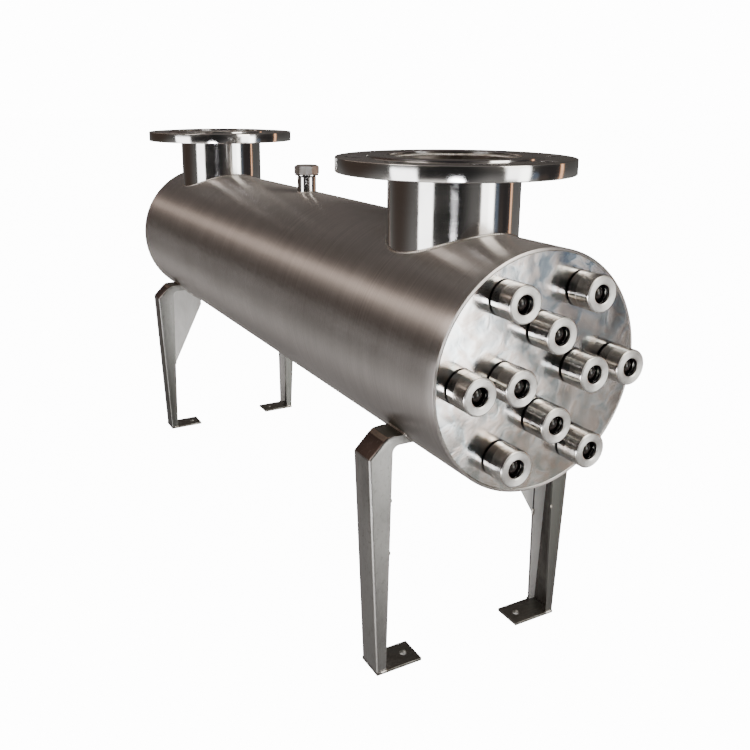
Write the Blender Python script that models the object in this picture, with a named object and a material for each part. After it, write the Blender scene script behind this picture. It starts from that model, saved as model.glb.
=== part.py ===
"""UV clarifier: a horizontal stainless steel vessel with ten germicidal lamps.

The vessel lies along Y with its gland end facing -Y and stands on four bent
sheet legs. The origin is on the floor, under the middle of the bounding box.
Distances called "depth" are measured from the outer face of the front end
plate: positive into the vessel (+Y), negative out of it (-Y).
"""

import math

import bmesh
import bpy
from mathutils import Matrix

# Driving dimensions, in metres
AXIS_Z = 0.3975            # height of the vessel's axis above the floor
SHELL_RADIUS = 0.1365      # DN 250 pipe, 273 mm outside
SHELL_WALL = 0.003
VESSEL_LENGTH = 1.120
PLATE_THICKNESS = 0.010
GAP = 0.0003               # between pieces that touch

NOZZLE_DEPTHS = {"inlet": 0.999, "outlet": 0.170}
NOZZLE_RADIUS = 0.0795     # DN 150 pipe, 159 mm outside
NOZZLE_WALL = 0.003
SADDLE_LOW = 0.100         # where what is cut to the shell starts, above the axis
FLANGE_RADIUS = 0.1425     # DN 150 flange, 285 mm outside
FLANGE_THICKNESS = 0.018
FLANGE_FACE_HEIGHT = 0.2210  # sealing face above the vessel's axis
RAISED_FACE_RADIUS = 0.1055
RAISED_FACE_STEP = 0.002
PIPE_SETBACK = 0.006       # pipe end below the sealing face, room for the weld
BOLT_CIRCLE_RADIUS = 0.120
BOLT_HOLE_RADIUS = 0.011
BOLT_HOLES = 8

RING_RADII = {"inner": 0.0492, "outer": 0.1016}
RING_COUNTS = {"inner": 4, "outer": 6}

THREAD_RADIUS = 0.0170
SOCKET_LENGTH = 0.025
SOCKET_BORE_RADIUS = 0.0122
NUT_RADIUS = 0.02035
NUT_BORE_RADIUS = 0.0175
NUT_HOLE_RADIUS = 0.0103
NUT_BACK = 0.002           # from the plate to the nut's rear edge
NUT_FACE = 0.0324          # from the plate to the nut's front face
NUT_LIP = 0.0033
SEAL_SECTION_RADIUS = 0.00175

SLEEVE_RADIUS = 0.0115
SLEEVE_WALL = 0.0015
SLEEVE_END_DEPTH = 1.100
LAMP_RADIUS = 0.0075
LAMP_CAP_RADIUS = 0.0092
LAMP_CAP_LENGTH = 0.020
LAMP_START_DEPTH = -0.0285
LAMP_END_DEPTH = 1.070

BAFFLE_DEPTH = 0.640
BAFFLE_CHORD = 0.105       # the baffle is cut off this far below the axis
SUPPORT_DEPTH = 1.084
SUPPORT_FLOW_RADIUS = 0.030
PERFORATED_THICKNESS = 0.003

PORT_DEPTH = 0.585
PORT_RADIUS = 0.0152
PORT_BORE_RADIUS = 0.0107
PORT_HEIGHT = 0.1615       # socket's top above the vessel's axis
WASHER_THICKNESS = 0.0015
PLUG_SPIGOT_RADIUS = 0.0102
PLUG_SPIGOT_LENGTH = 0.0115
PLUG_HEX_RADIUS = 0.0203   # across corners, halved
PLUG_HEX_TURN = math.radians(30)   # the hexagon's turn from a corner towards +X
PLUG_HEIGHT = 0.0164

LEG_DEPTHS = {"front": 0.1184, "rear": 0.9935}
LEG_WIDTH = 0.038
LEG_SHEET = 0.003
LEG_FOOT_X = 0.1385        # outer face of the web at the foot
LEG_SHOULDER = (0.1523, -0.1110)   # where the web's first bend begins
LEG_CHAMFER = (0.1335, -0.0920)    # end of the 45 degree facet
LEG_TOP = (0.1275, -0.0875)        # end of the short facet, start of the top
LEG_INNER_X = (0.1260, 0.1215)     # flange edge at the foot and at the top
LEG_INNER_TOP_Z = -0.0990
LEG_FILLET = 0.009         # in the flange's inner corner
GUSSET_LOW = {"front": (0.1250, -0.2630), "rear": (0.1250, -0.2555)}
GUSSET_REACH = {"front": (0.0480, -0.1300), "rear": (0.0640, -0.1320)}
LEGS_WITH_GUSSET = ("front_right", "rear_left", "rear_right")
FOOT_INNER_X = 0.0744
FOOT_THICKNESS = 0.004
FOOT_HOLE_X = 0.0900
FOOT_HOLE_RADIUS = 0.005

# The front plate's place that centres the bounding box on the origin
FRONT_Y = -(max(NOZZLE_DEPTHS.values()) + FLANGE_RADIUS - NUT_FACE) / 2

SHELL_SIDES = 72
NOZZLE_SIDES = 48
GLAND_SIDES = 16
SLEEVE_SIDES = 12
HOLE_SIDES = 12


# Building blocks

def clear_scene():
    for obj in list(bpy.data.objects):
        bpy.data.objects.remove(obj, do_unlink=True)


def make_material(name, colour, metallic, roughness):
    material = bpy.data.materials.new(name)
    material.use_nodes = True
    shader = material.node_tree.nodes["Principled BSDF"]
    shader.inputs["Base Color"].default_value = (*colour, 1.0)
    shader.inputs["Metallic"].default_value = metallic
    shader.inputs["Roughness"].default_value = roughness
    return material


def make_object(name, bm, material):
    bmesh.ops.recalc_face_normals(bm, faces=bm.faces[:])
    mesh = bpy.data.meshes.new(name)
    bm.to_mesh(mesh)
    bm.free()
    mesh.shade_smooth()
    mesh.set_sharp_from_angle(angle=math.radians(30))
    obj = bpy.data.objects.new(name, mesh)
    if material is not None:
        mesh.materials.append(material)
    bpy.context.scene.collection.objects.link(obj)
    return obj


def add_turned(bm, profile, sides):
    """Turns a closed (radius, height) outline about Z into bm."""
    ring = [bm.verts.new((r, 0.0, h)) for r, h in profile]
    pairs = zip(ring, ring[1:] + ring[:1])
    edges = [bm.edges.new(pair) for pair in pairs if any(v.co.x > 0 for v in pair)]
    bmesh.ops.spin(bm, geom=edges, cent=(0, 0, 0), axis=(0, 0, 1),
                   angle=2 * math.pi, steps=sides, use_merge=True)
    bmesh.ops.remove_doubles(bm, verts=bm.verts[:], dist=1e-6)


def turned(name, profile, sides, material):
    bm = bmesh.new()
    add_turned(bm, profile, sides)
    return make_object(name, bm, material)


def add_rod(bm, radius, low, high, sides, x=0.0, y=0.0):
    """Adds an upright round bar at (x, y) to bm."""
    middle = Matrix.Translation((x, y, (low + high) / 2))
    bmesh.ops.create_cone(
        bm, cap_ends=True, segments=sides, radius1=radius, radius2=radius,
        depth=high - low, matrix=middle)


def rod(name, radius, low, high, sides, material):
    bm = bmesh.new()
    add_rod(bm, radius, low, high, sides)
    return make_object(name, bm, material)


def tube_profile(inside, outside, bottom, top):
    return [(inside, bottom), (outside, bottom), (outside, top), (inside, top)]


def prism(name, outline, y_low, y_high, material):
    """Extrudes an (x, z) outline along Y."""
    bm = bmesh.new()
    face = bm.faces.new([bm.verts.new((x, y_low, z)) for x, z in outline])
    grown = bmesh.ops.extrude_face_region(bm, geom=[face])
    moved = [v for v in grown["geom"] if isinstance(v, bmesh.types.BMVert)]
    bmesh.ops.translate(bm, verts=moved, vec=(0, y_high - y_low, 0))
    return make_object(name, bm, material)


def combine(target, tool, operation):
    """Applies a Boolean with a hidden tool object."""
    tool.hide_render = True
    tool.display_type = "WIRE"
    modifier = target.modifiers.new(tool.name, "BOOLEAN")
    modifier.operation = operation
    modifier.solver = "EXACT"
    modifier.object = tool
    return target


def lay_along_vessel(obj, x, depth, z):
    """Stands an object turned about Z so that its +Z points out of the front plate."""
    obj.location = (x, FRONT_Y + depth, AXIS_Z + z)
    obj.rotation_euler = (math.radians(90), 0, 0)


def stand_on_axis(obj, depth):
    """Keeps +Z up, with the object's zero height on the vessel's axis."""
    obj.location = (0, FRONT_Y + depth, AXIS_Z)


def gland_places():
    """(number, x, z) of every lamp position, counted from +X towards +Z."""
    number = 0
    for ring, count in RING_COUNTS.items():
        for step in range(count):
            number += 1
            angle = 2 * math.pi * step / count
            radius = RING_RADII[ring]
            yield number, radius * math.cos(angle), radius * math.sin(angle)


def gland_tools(name, radius, low, high, sides):
    """One hidden object with a round bar at each lamp position."""
    bm = bmesh.new()
    for _, x, z in gland_places():
        add_rod(bm, radius, low, high, sides, x, z)
    tool = make_object(name, bm, None)
    lay_along_vessel(tool, 0, 0, 0)
    return tool


# Vessel

def build_shell(steel):
    inside = SHELL_RADIUS - SHELL_WALL
    shell = turned("shell", tube_profile(inside, SHELL_RADIUS, -VESSEL_LENGTH, 0), SHELL_SIDES, steel)
    lay_along_vessel(shell, 0, 0, 0)
    bore = NOZZLE_RADIUS - NOZZLE_WALL
    for nozzle, depth in NOZZLE_DEPTHS.items():
        opening = rod(f"{nozzle}_opening", bore, SADDLE_LOW, SHELL_RADIUS + SHELL_WALL, NOZZLE_SIDES, None)
        stand_on_axis(opening, depth)
        combine(shell, opening, "DIFFERENCE")
    port = rod("port_opening", PORT_BORE_RADIUS, SADDLE_LOW, SHELL_RADIUS + SHELL_WALL, GLAND_SIDES, None)
    stand_on_axis(port, PORT_DEPTH)
    combine(shell, port, "DIFFERENCE")


def build_front_plate(steel):
    radius = SHELL_RADIUS - SHELL_WALL - GAP
    plate = rod("front_end_plate", radius, -PLATE_THICKNESS, 0, SHELL_SIDES, steel)
    lay_along_vessel(plate, 0, 0, 0)
    middle = -PLATE_THICKNESS / 2
    threads = gland_tools("gland_threads", THREAD_RADIUS, middle, SOCKET_LENGTH, GLAND_SIDES)
    combine(plate, threads, "UNION")
    bores = gland_tools("gland_bores", SOCKET_BORE_RADIUS, -SOCKET_LENGTH, 2 * SOCKET_LENGTH, GLAND_SIDES)
    combine(plate, bores, "DIFFERENCE")


def build_rear_plate(steel):
    radius = SHELL_RADIUS - SHELL_WALL - GAP
    plate = rod("rear_end_plate", radius, 0, PLATE_THICKNESS, SHELL_SIDES, steel)
    lay_along_vessel(plate, 0, VESSEL_LENGTH, 0)


def build_perforated_plates(steel):
    """The baffle and the sleeve support, which carry the sleeves inside the vessel."""
    radius = SHELL_RADIUS - SHELL_WALL - 2 * GAP
    hole_radius = SLEEVE_RADIUS + 2 * GAP
    holes = gland_tools("sleeve_holes", hole_radius, -VESSEL_LENGTH, -PLATE_THICKNESS, SLEEVE_SIDES)

    baffle = rod("flow_baffle", radius, 0, PERFORATED_THICKNESS, SHELL_SIDES, steel)
    lay_along_vessel(baffle, 0, BAFFLE_DEPTH, 0)
    combine(baffle, holes, "DIFFERENCE")
    chord = AXIS_Z - BAFFLE_CHORD
    floor = AXIS_Z - 2 * SHELL_RADIUS
    edge = FRONT_Y + BAFFLE_DEPTH
    outline = [(-SHELL_RADIUS, floor), (SHELL_RADIUS, floor), (SHELL_RADIUS, chord), (-SHELL_RADIUS, chord)]
    window = prism("baffle_window", outline, edge - PLATE_THICKNESS, edge + PLATE_THICKNESS, None)
    combine(baffle, window, "DIFFERENCE")

    support = rod("sleeve_support", radius, 0, PERFORATED_THICKNESS, SHELL_SIDES, steel)
    lay_along_vessel(support, 0, SUPPORT_DEPTH, 0)
    combine(support, holes, "DIFFERENCE")
    flow = rod("support_flow", SUPPORT_FLOW_RADIUS, -PLATE_THICKNESS, PLATE_THICKNESS, GLAND_SIDES, None)
    lay_along_vessel(flow, 0, SUPPORT_DEPTH, 0)
    combine(support, flow, "DIFFERENCE")


# Nozzles

def vessel_tool(name):
    """The shell's outer surface grown by the gap, to shape what is welded on it."""
    tool = rod(name, SHELL_RADIUS + GAP, -2 * VESSEL_LENGTH, VESSEL_LENGTH, SHELL_SIDES, None)
    lay_along_vessel(tool, 0, 0, 0)
    return tool


def build_nozzle(nozzle, depth, steel, vessel):
    inside = NOZZLE_RADIUS - NOZZLE_WALL
    top = FLANGE_FACE_HEIGHT - PIPE_SETBACK
    pipe = turned(f"{nozzle}_pipe", tube_profile(inside, NOZZLE_RADIUS, SADDLE_LOW, top), NOZZLE_SIDES, steel)
    stand_on_axis(pipe, depth)
    combine(pipe, vessel, "DIFFERENCE")

    bore = NOZZLE_RADIUS + 2 * GAP
    rim_top = FLANGE_FACE_HEIGHT - RAISED_FACE_STEP
    rim_bottom = rim_top - FLANGE_THICKNESS
    section = [
        (bore, rim_bottom), (FLANGE_RADIUS, rim_bottom), (FLANGE_RADIUS, rim_top),
        (RAISED_FACE_RADIUS, rim_top), (RAISED_FACE_RADIUS, FLANGE_FACE_HEIGHT),
        (bore, FLANGE_FACE_HEIGHT),
    ]
    flange = turned(f"{nozzle}_flange", section, NOZZLE_SIDES, steel)
    stand_on_axis(flange, depth)
    holes = bmesh.new()
    for step in range(BOLT_HOLES):
        angle = 2 * math.pi * (step + 0.5) / BOLT_HOLES
        x = BOLT_CIRCLE_RADIUS * math.cos(angle)
        y = BOLT_CIRCLE_RADIUS * math.sin(angle)
        add_rod(holes, BOLT_HOLE_RADIUS, rim_bottom - PLATE_THICKNESS, rim_top + PLATE_THICKNESS,
                HOLE_SIDES, x, y)
    tool = make_object(f"{nozzle}_bolt_holes", holes, None)
    stand_on_axis(tool, depth)
    combine(flange, tool, "DIFFERENCE")


def build_port(steel, plug_steel, rubber, vessel):
    socket = turned(
        "port_socket", tube_profile(PORT_BORE_RADIUS, PORT_RADIUS, SADDLE_LOW, PORT_HEIGHT), GLAND_SIDES, steel)
    stand_on_axis(socket, PORT_DEPTH)
    combine(socket, vessel, "DIFFERENCE")

    washer_low = PORT_HEIGHT + GAP
    washer_top = washer_low + WASHER_THICKNESS
    inside = PLUG_SPIGOT_RADIUS + 2 * GAP
    washer = turned(
        "port_washer", tube_profile(inside, PORT_RADIUS, washer_low, washer_top), GLAND_SIDES, rubber)
    stand_on_axis(washer, PORT_DEPTH)

    head_low = washer_top + GAP
    plug = rod("port_plug", PLUG_HEX_RADIUS, head_low, head_low + PLUG_HEIGHT, 6, plug_steel)
    stand_on_axis(plug, PORT_DEPTH)
    plug.rotation_euler = (0, 0, PLUG_HEX_TURN)
    spigot_low = head_low - PLUG_SPIGOT_LENGTH
    head_middle = head_low + PLUG_HEIGHT / 2
    spigot = rod("plug_spigot", PLUG_SPIGOT_RADIUS, spigot_low, head_middle, GLAND_SIDES, None)
    stand_on_axis(spigot, PORT_DEPTH)
    combine(plug, spigot, "UNION")


# Glands, sleeves and lamps

def nut_profile():
    lip = NUT_FACE - NUT_LIP
    chamfer = 0.0008
    return [
        (NUT_BORE_RADIUS, NUT_BACK), (NUT_RADIUS, NUT_BACK), (NUT_RADIUS, NUT_FACE - chamfer),
        (NUT_RADIUS - chamfer, NUT_FACE), (NUT_HOLE_RADIUS + chamfer, NUT_FACE),
        (NUT_HOLE_RADIUS, NUT_FACE - chamfer), (NUT_HOLE_RADIUS, lip), (NUT_BORE_RADIUS, lip),
    ]


def seal_profile():
    ring = SLEEVE_RADIUS + GAP + SEAL_SECTION_RADIUS
    height = SOCKET_LENGTH + GAP + SEAL_SECTION_RADIUS
    corners = 5
    turn = [2 * math.pi * step / corners for step in range(corners)]
    return [(ring + SEAL_SECTION_RADIUS * math.cos(a), height + SEAL_SECTION_RADIUS * math.sin(a))
            for a in turn]


def sleeve_profile():
    """A quartz tube with a round closed end inside the vessel and an open end in the nut."""
    front = NUT_FACE - NUT_LIP - GAP
    dome_start = SLEEVE_RADIUS - SLEEVE_END_DEPTH
    inside = SLEEVE_RADIUS - SLEEVE_WALL
    diagonal = math.sqrt(0.5)
    return [
        (inside, front), (inside, dome_start),
        (inside * diagonal, dome_start - inside * diagonal), (0.0, dome_start - inside),
        (0.0, -SLEEVE_END_DEPTH), (SLEEVE_RADIUS * diagonal, dome_start - SLEEVE_RADIUS * diagonal),
        (SLEEVE_RADIUS, dome_start), (SLEEVE_RADIUS, front),
    ]


def lamp_profile():
    """A glass tube with a round-nosed cap in the gland and a plain cap inside the vessel."""
    start = -LAMP_START_DEPTH
    end = -LAMP_END_DEPTH
    nose = start - LAMP_CAP_RADIUS
    diagonal = LAMP_CAP_RADIUS * math.sqrt(0.5)
    return [
        (0.0, start), (diagonal, nose + diagonal), (LAMP_CAP_RADIUS, nose),
        (LAMP_CAP_RADIUS, start - LAMP_CAP_LENGTH), (LAMP_RADIUS, start - LAMP_CAP_LENGTH),
        (LAMP_RADIUS, end + LAMP_CAP_LENGTH), (LAMP_CAP_RADIUS, end + LAMP_CAP_LENGTH),
        (LAMP_CAP_RADIUS, end), (0.0, end),
    ]


def build_lamp_positions(steel, rubber, quartz, ceramic):
    pieces = (
        ("gland_nut", nut_profile(), GLAND_SIDES, steel),
        ("gland_seal", seal_profile(), GLAND_SIDES, rubber),
        ("quartz_sleeve", sleeve_profile(), SLEEVE_SIDES, quartz),
        ("uv_lamp", lamp_profile(), SLEEVE_SIDES, ceramic),
    )
    for number, x, z in gland_places():
        for kind, profile, sides, material in pieces:
            piece = turned(f"{kind}_{number:02d}", profile, sides, material)
            lay_along_vessel(piece, x, 0, z)


# Legs

def leg_outline():
    """The side view of a leg: web outside, bent top, tapering flange with a round inner corner."""
    bottom = FOOT_THICKNESS + GAP - AXIS_Z
    centre = (LEG_INNER_X[1] - LEG_FILLET, LEG_INNER_TOP_Z - LEG_FILLET)
    turns = [math.radians(angle) for angle in (90, 60, 30, 0)]
    corner = [(centre[0] + LEG_FILLET * math.cos(a), centre[1] + LEG_FILLET * math.sin(a)) for a in turns]
    return [
        (LEG_FOOT_X, bottom), LEG_SHOULDER, LEG_CHAMFER, LEG_TOP, (0.09, LEG_TOP[1]),
        (0.09, LEG_INNER_TOP_Z), *corner, (LEG_INNER_X[0], bottom),
    ]


def leg_hollow():
    """What the bent sheet leaves open, one sheet inside the web and the top."""
    bottom = -AXIS_Z
    sheet = LEG_SHEET
    slant = sheet * math.tan(math.radians(22.5))
    return [
        (LEG_FOOT_X - sheet, bottom), (LEG_SHOULDER[0] - sheet, LEG_SHOULDER[1] - slant),
        (LEG_CHAMFER[0] - slant, LEG_CHAMFER[1] - sheet), (LEG_TOP[0] - slant / 2, LEG_TOP[1] - sheet),
        (0.08, LEG_TOP[1] - sheet), (0.08, bottom),
    ]


def placed(outline, side):
    """Mirrors an outline to one side of the vessel and lifts it to the axis."""
    return [(side * x, AXIS_Z + z) for x, z in outline]


def build_leg(end, side, steel, vessel):
    sign = {"left": -1, "right": 1}[side]
    name = f"{end}_{side}"
    middle = FRONT_Y + LEG_DEPTHS[end]
    half = LEG_WIDTH / 2
    leg = prism(f"leg_{name}", placed(leg_outline(), sign), middle - half, middle + half, steel)
    inner = half - LEG_SHEET
    hollow = prism(f"hollow_{name}", placed(leg_hollow(), sign), middle - inner, middle + inner, None)
    combine(leg, hollow, "DIFFERENCE")
    if name in LEGS_WITH_GUSSET:
        middle_side = 1 if end == "front" else -1
        web_side = (LEG_SHOULDER[0] - LEG_SHEET / 2, LEG_INNER_TOP_Z)
        low, reach = GUSSET_LOW[end], GUSSET_REACH[end]
        foot_side = (LEG_SHOULDER[0] - 0.010, low[1])
        top_side = (LEG_TOP[0], LEG_TOP[1] - LEG_SHEET / 2)
        outline = [low, reach, (reach[0], LEG_TOP[1] - LEG_SHEET / 2), top_side, web_side, foot_side]
        outer = middle + middle_side * half
        skin = outer - middle_side * LEG_SHEET
        gusset = prism(f"gusset_{name}", placed(outline, sign), min(outer, skin), max(outer, skin), None)
        combine(leg, gusset, "UNION")
    combine(leg, vessel, "DIFFERENCE")


def build_foot(end, side, steel):
    sign = {"left": -1, "right": 1}[side]
    name = f"foot_{end}_{side}"
    middle = FRONT_Y + LEG_DEPTHS[end]
    half = LEG_WIDTH / 2
    inner, outer = sign * FOOT_INNER_X, sign * LEG_FOOT_X
    outline = [(inner, 0), (outer, 0), (outer, FOOT_THICKNESS), (inner, FOOT_THICKNESS)]
    foot = prism(name, outline, middle - half, middle + half, steel)
    hole = rod(f"{name}_hole", FOOT_HOLE_RADIUS, -FOOT_THICKNESS, 2 * FOOT_THICKNESS, HOLE_SIDES, None)
    hole.location = (sign * FOOT_HOLE_X, middle, 0)
    combine(foot, hole, "DIFFERENCE")


def build():
    clear_scene()
    brushed = make_material("brushed_steel", (0.47, 0.45, 0.43), 1.0, 0.32)
    polished = make_material("polished_steel", (0.62, 0.61, 0.60), 1.0, 0.12)
    machined = make_material("machined_steel", (0.70, 0.69, 0.67), 1.0, 0.28)
    sheet = make_material("sheet_steel", (0.42, 0.41, 0.39), 1.0, 0.42)
    rubber = make_material("seal_rubber", (0.015, 0.015, 0.015), 0.0, 0.6)
    quartz = make_material("quartz_glass", (0.80, 0.84, 0.84), 0.0, 0.05)
    ceramic = make_material("lamp_glass", (0.75, 0.76, 0.74), 0.0, 0.15)

    build_shell(brushed)
    build_front_plate(brushed)
    build_rear_plate(brushed)
    build_perforated_plates(sheet)
    vessel = vessel_tool("vessel_surface")
    for nozzle, depth in NOZZLE_DEPTHS.items():
        build_nozzle(nozzle, depth, polished, vessel)
    build_port(polished, machined, rubber, vessel)
    build_lamp_positions(machined, rubber, quartz, ceramic)
    for end in LEG_DEPTHS:
        for side in ("left", "right"):
            build_leg(end, side, sheet, vessel)
            build_foot(end, side, sheet)


build()
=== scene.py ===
import math

import bmesh
import bpy
from mathutils import Matrix, Vector


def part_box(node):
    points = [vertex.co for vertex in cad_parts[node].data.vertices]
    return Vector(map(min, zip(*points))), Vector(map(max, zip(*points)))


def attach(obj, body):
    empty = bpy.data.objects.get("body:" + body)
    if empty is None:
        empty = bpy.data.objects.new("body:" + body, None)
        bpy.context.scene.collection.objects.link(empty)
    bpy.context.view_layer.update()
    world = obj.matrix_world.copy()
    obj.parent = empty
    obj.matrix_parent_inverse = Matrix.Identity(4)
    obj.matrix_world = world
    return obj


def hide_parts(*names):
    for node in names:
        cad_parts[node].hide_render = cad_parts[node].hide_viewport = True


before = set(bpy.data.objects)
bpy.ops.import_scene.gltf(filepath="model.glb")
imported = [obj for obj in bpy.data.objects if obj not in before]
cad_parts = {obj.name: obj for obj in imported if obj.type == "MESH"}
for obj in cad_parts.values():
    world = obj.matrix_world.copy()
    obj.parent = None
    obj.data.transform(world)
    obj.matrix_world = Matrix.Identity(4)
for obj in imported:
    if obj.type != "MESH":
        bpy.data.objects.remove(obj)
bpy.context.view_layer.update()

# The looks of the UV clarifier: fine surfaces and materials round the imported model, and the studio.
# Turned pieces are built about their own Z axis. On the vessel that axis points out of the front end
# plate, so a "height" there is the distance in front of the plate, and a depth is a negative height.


def middle(node):
    low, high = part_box(node)
    return (low + high) / 2


def half_width(node):
    low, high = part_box(node)
    return (high.x - low.x) / 2


# Measures taken from the frame, in metres
FRONT_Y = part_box("shell")[0].y
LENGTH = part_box("shell")[1].y - FRONT_Y
AXIS_Z = middle("rear_end_plate").z
SHELL_RADIUS = half_width("shell")
PIPE_RADIUS = half_width("inlet_pipe")
FLANGE_RADIUS = half_width("inlet_flange")
FLANGE_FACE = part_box("inlet_flange")[1].z - AXIS_Z
PORT_RADIUS = half_width("port_socket")
PORT_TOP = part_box("port_socket")[1].z - AXIS_Z
PLUG_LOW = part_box("port_washer")[1].z - AXIS_Z + 0.0003
PLUG_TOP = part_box("port_plug")[1].z - AXIS_Z
NUT_RADIUS = half_width("gland_nut_01")
SLEEVE_RADIUS = half_width("quartz_sleeve_01")
LAMP_CAP_RADIUS = half_width("uv_lamp_01")
NUT_FACE, NUT_BACK = (FRONT_Y - corner.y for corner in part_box("gland_nut_01"))
SLEEVE_FRONT, SLEEVE_END = (FRONT_Y - corner.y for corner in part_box("quartz_sleeve_01"))
LAMP_FRONT, LAMP_END = (FRONT_Y - corner.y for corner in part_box("uv_lamp_01"))
GLANDS = [f"{number:02d}" for number in range(1, 11)]

# Measures that no box gives, in metres, as in the part's own source
GAP = 0.0003
SHELL_WALL = 0.003
PLATE_THICKNESS = 0.010
PIPE_WALL = 0.003
PIPE_SETBACK = 0.006
FLANGE_THICKNESS = 0.018
RAISED_FACE_RADIUS = 0.1055
RAISED_FACE_STEP = 0.002
BOLT_CIRCLE_RADIUS = 0.120
BOLT_HOLE_RADIUS = 0.011
BOLT_HOLES = 8
THREAD_RADIUS = 0.0170
THREAD_PITCH = 0.002
THREAD_START = 0.013
SOCKET_LENGTH = 0.025
SOCKET_BORE_RADIUS = 0.0122
NUT_GROOVE = 0.0135
NUT_BORE_RADIUS = 0.0175
NUT_HOLE_RADIUS = 0.0103
NUT_LIP = 0.0033
SEAL_SECTION_RADIUS = 0.00175
SLEEVE_WALL = 0.0015
LAMP_RADIUS = 0.0075
LAMP_CAP_LENGTH = 0.020
FILAMENT_RADIUS = 0.0026
FILAMENT_WIRE = 0.00035
FILAMENT_PITCH = 0.0014
FILAMENT_TURNS = 7
PORT_BORE_RADIUS = 0.0107
PORT_THREAD_PITCH = 0.001814
PLUG_SPIGOT_RADIUS = 0.0102
PLUG_SPIGOT_LENGTH = 0.0115
PLUG_HEX_RADIUS = 0.0203
PLUG_HEX_TURN = math.radians(30)
LEG_SHEET = 0.003
LEG_FOOT_X = 0.1385
LEG_SHOULDER = (0.1523, -0.1110)
LEG_CHAMFER = (0.1335, -0.0920)
LEG_TOP = (0.1275, -0.0875)
LEG_INNER_X = (0.1260, 0.1215)
LEG_INNER_TOP = (0.0900, -0.0990)
LEG_FILLET = 0.009
GUSSET_LOW = {"front": (0.1250, -0.2630), "rear": (0.1250, -0.2555)}
GUSSET_REACH = {"front": (0.0480, -0.1300), "rear": (0.0640, -0.1320)}
LEGS_WITH_GUSSET = ("front_right", "rear_left", "rear_right")
FOOT_THICKNESS = 0.004
FOOT_HOLE_X = 0.0900
FOOT_HOLE_RADIUS = 0.005

STUB_STRAIGHT = 0.1375      # height above the axis from which a nozzle stub is a plain tube
SEAM_LIFT = 0.0005      # from the shell's skin to the middle of a bead on a leg or gusset

# Weld beads, by their radius in metres
BEAD_SIDES = 8
BEAD_RIPPLE = 0.0028
BEADS = {
    "plate": 0.0005,
    "socket": 0.0009,
    "saddle": 0.0013,
    "flange_bore": 0.0022,
    "flange_back": 0.0016,
    "leg_top": 0.0019,
    "leg_side": 0.0016,
    "leg_tack": 0.0015,
    "foot": 0.0017,
    "gusset_side": 0.0009,
    "gusset_dab": 0.0024,
    "gusset_top": 0.0016,
}

ROUND = 192        # sides of the vessel's large turned pieces
FINE = 96          # sides of the glands and the port
LAMP_SIDES = 64
SHARP = math.radians(32)
UP = Vector((0, 0, 1))
ALONG = Vector((0, 1, 0))


# Places

def along_vessel(x=0.0, z=0.0, depth=0.0):
    """Where a turned piece's Z axis points out of the front end plate."""
    return Matrix.Translation((x, FRONT_Y + depth, AXIS_Z + z)) @ Matrix.Rotation(math.radians(90), 4, "X")


def upright(node):
    """On the vessel's axis under an upright turned piece."""
    return Matrix.Translation((0, middle(node).y, AXIS_Z))


def gland_place(number):
    spot = middle(f"gland_nut_{number}")
    return along_vessel(spot.x, spot.z - AXIS_Z)


def on_shell(x, radius=SHELL_RADIUS):
    """Height above the axis of a point on the shell, x to the side."""
    return math.sqrt(radius * radius - x * x)


# Mesh making

def arc(centre, radius, start, end, steps):
    """Points on a circle about centre, from start to end degrees."""
    turns = [math.radians(start + (end - start) * step / steps) for step in range(steps + 1)]
    return [(centre[0] + radius * math.cos(a), centre[1] + radius * math.sin(a)) for a in turns]


def turned(rows, sides):
    """Turns a closed outline about Z. A row is (radius, height) or a function of the angle giving it."""
    bm = bmesh.new()
    angles = [2 * math.pi * side / sides for side in range(sides)]
    rings = []
    for row in rows:
        spots = [row(a) if callable(row) else row for a in angles]
        if spots[0][0] < 1e-7:
            rings.append([bm.verts.new((0, 0, spots[0][1]))] * sides)
        else:
            rings.append([bm.verts.new((r * math.cos(a), r * math.sin(a), h))
                          for a, (r, h) in zip(angles, spots)])
    for low, high in zip(rings, rings[1:] + rings[:1]):
        for side in range(sides):
            corners = dict.fromkeys((low[side - 1], low[side], high[side], high[side - 1]))
            if len(corners) > 2:
                bm.faces.new(list(corners))
    return bm


def rod(radius, low, high, sides):
    return turned([(0, low), (radius, low), (radius, high), (0, high)], sides)


def prism(outline, low, high):
    """Extrudes an (x, z) outline from y = low to y = high."""
    bm = bmesh.new()
    face = bm.faces.new([bm.verts.new((x, low, z)) for x, z in outline])
    grown = bmesh.ops.extrude_face_region(bm, geom=[face])
    moved = [v for v in grown["geom"] if isinstance(v, bmesh.types.BMVert)]
    bmesh.ops.translate(bm, verts=moved, vec=(0, high - low, 0))
    return bm


def bead(path, radius, up, closed=False, ripple=BEAD_RIPPLE):
    """A weld bead along a path of points: a tube whose section swells with every ripple."""
    bm = bmesh.new()
    count = len(path)
    rings = []
    travelled = 0.0
    for index, point in enumerate(path):
        before = path[index - 1] if closed or index > 0 else point
        after = path[(index + 1) % count] if closed or index < count - 1 else point
        forward = (after - before).normalized()
        side = forward.cross(up).normalized()
        rise = side.cross(forward)
        travelled += (point - before).length
        swell = 0.85 + 0.22 * abs(math.sin(math.pi * travelled / ripple))
        if not closed:
            end = min(index, count - 1 - index)
            swell *= math.sin(math.pi / 2 * min(1.0, (end + 0.6) / 4))
        ring = []
        for corner in range(BEAD_SIDES):
            turn = 2 * math.pi * corner / BEAD_SIDES
            outward = side * math.cos(turn) + rise * math.sin(turn)
            ring.append(bm.verts.new(point + radius * swell * outward))
        rings.append(ring)
    following = rings[1:] + rings[:1] if closed else rings[1:]
    for ring, after in zip(rings, following):
        for corner in range(BEAD_SIDES):
            bm.faces.new((ring[corner - 1], ring[corner], after[corner], after[corner - 1]))
    if not closed:
        bm.faces.new(rings[0])
        bm.faces.new(rings[-1])
    return bm


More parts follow.
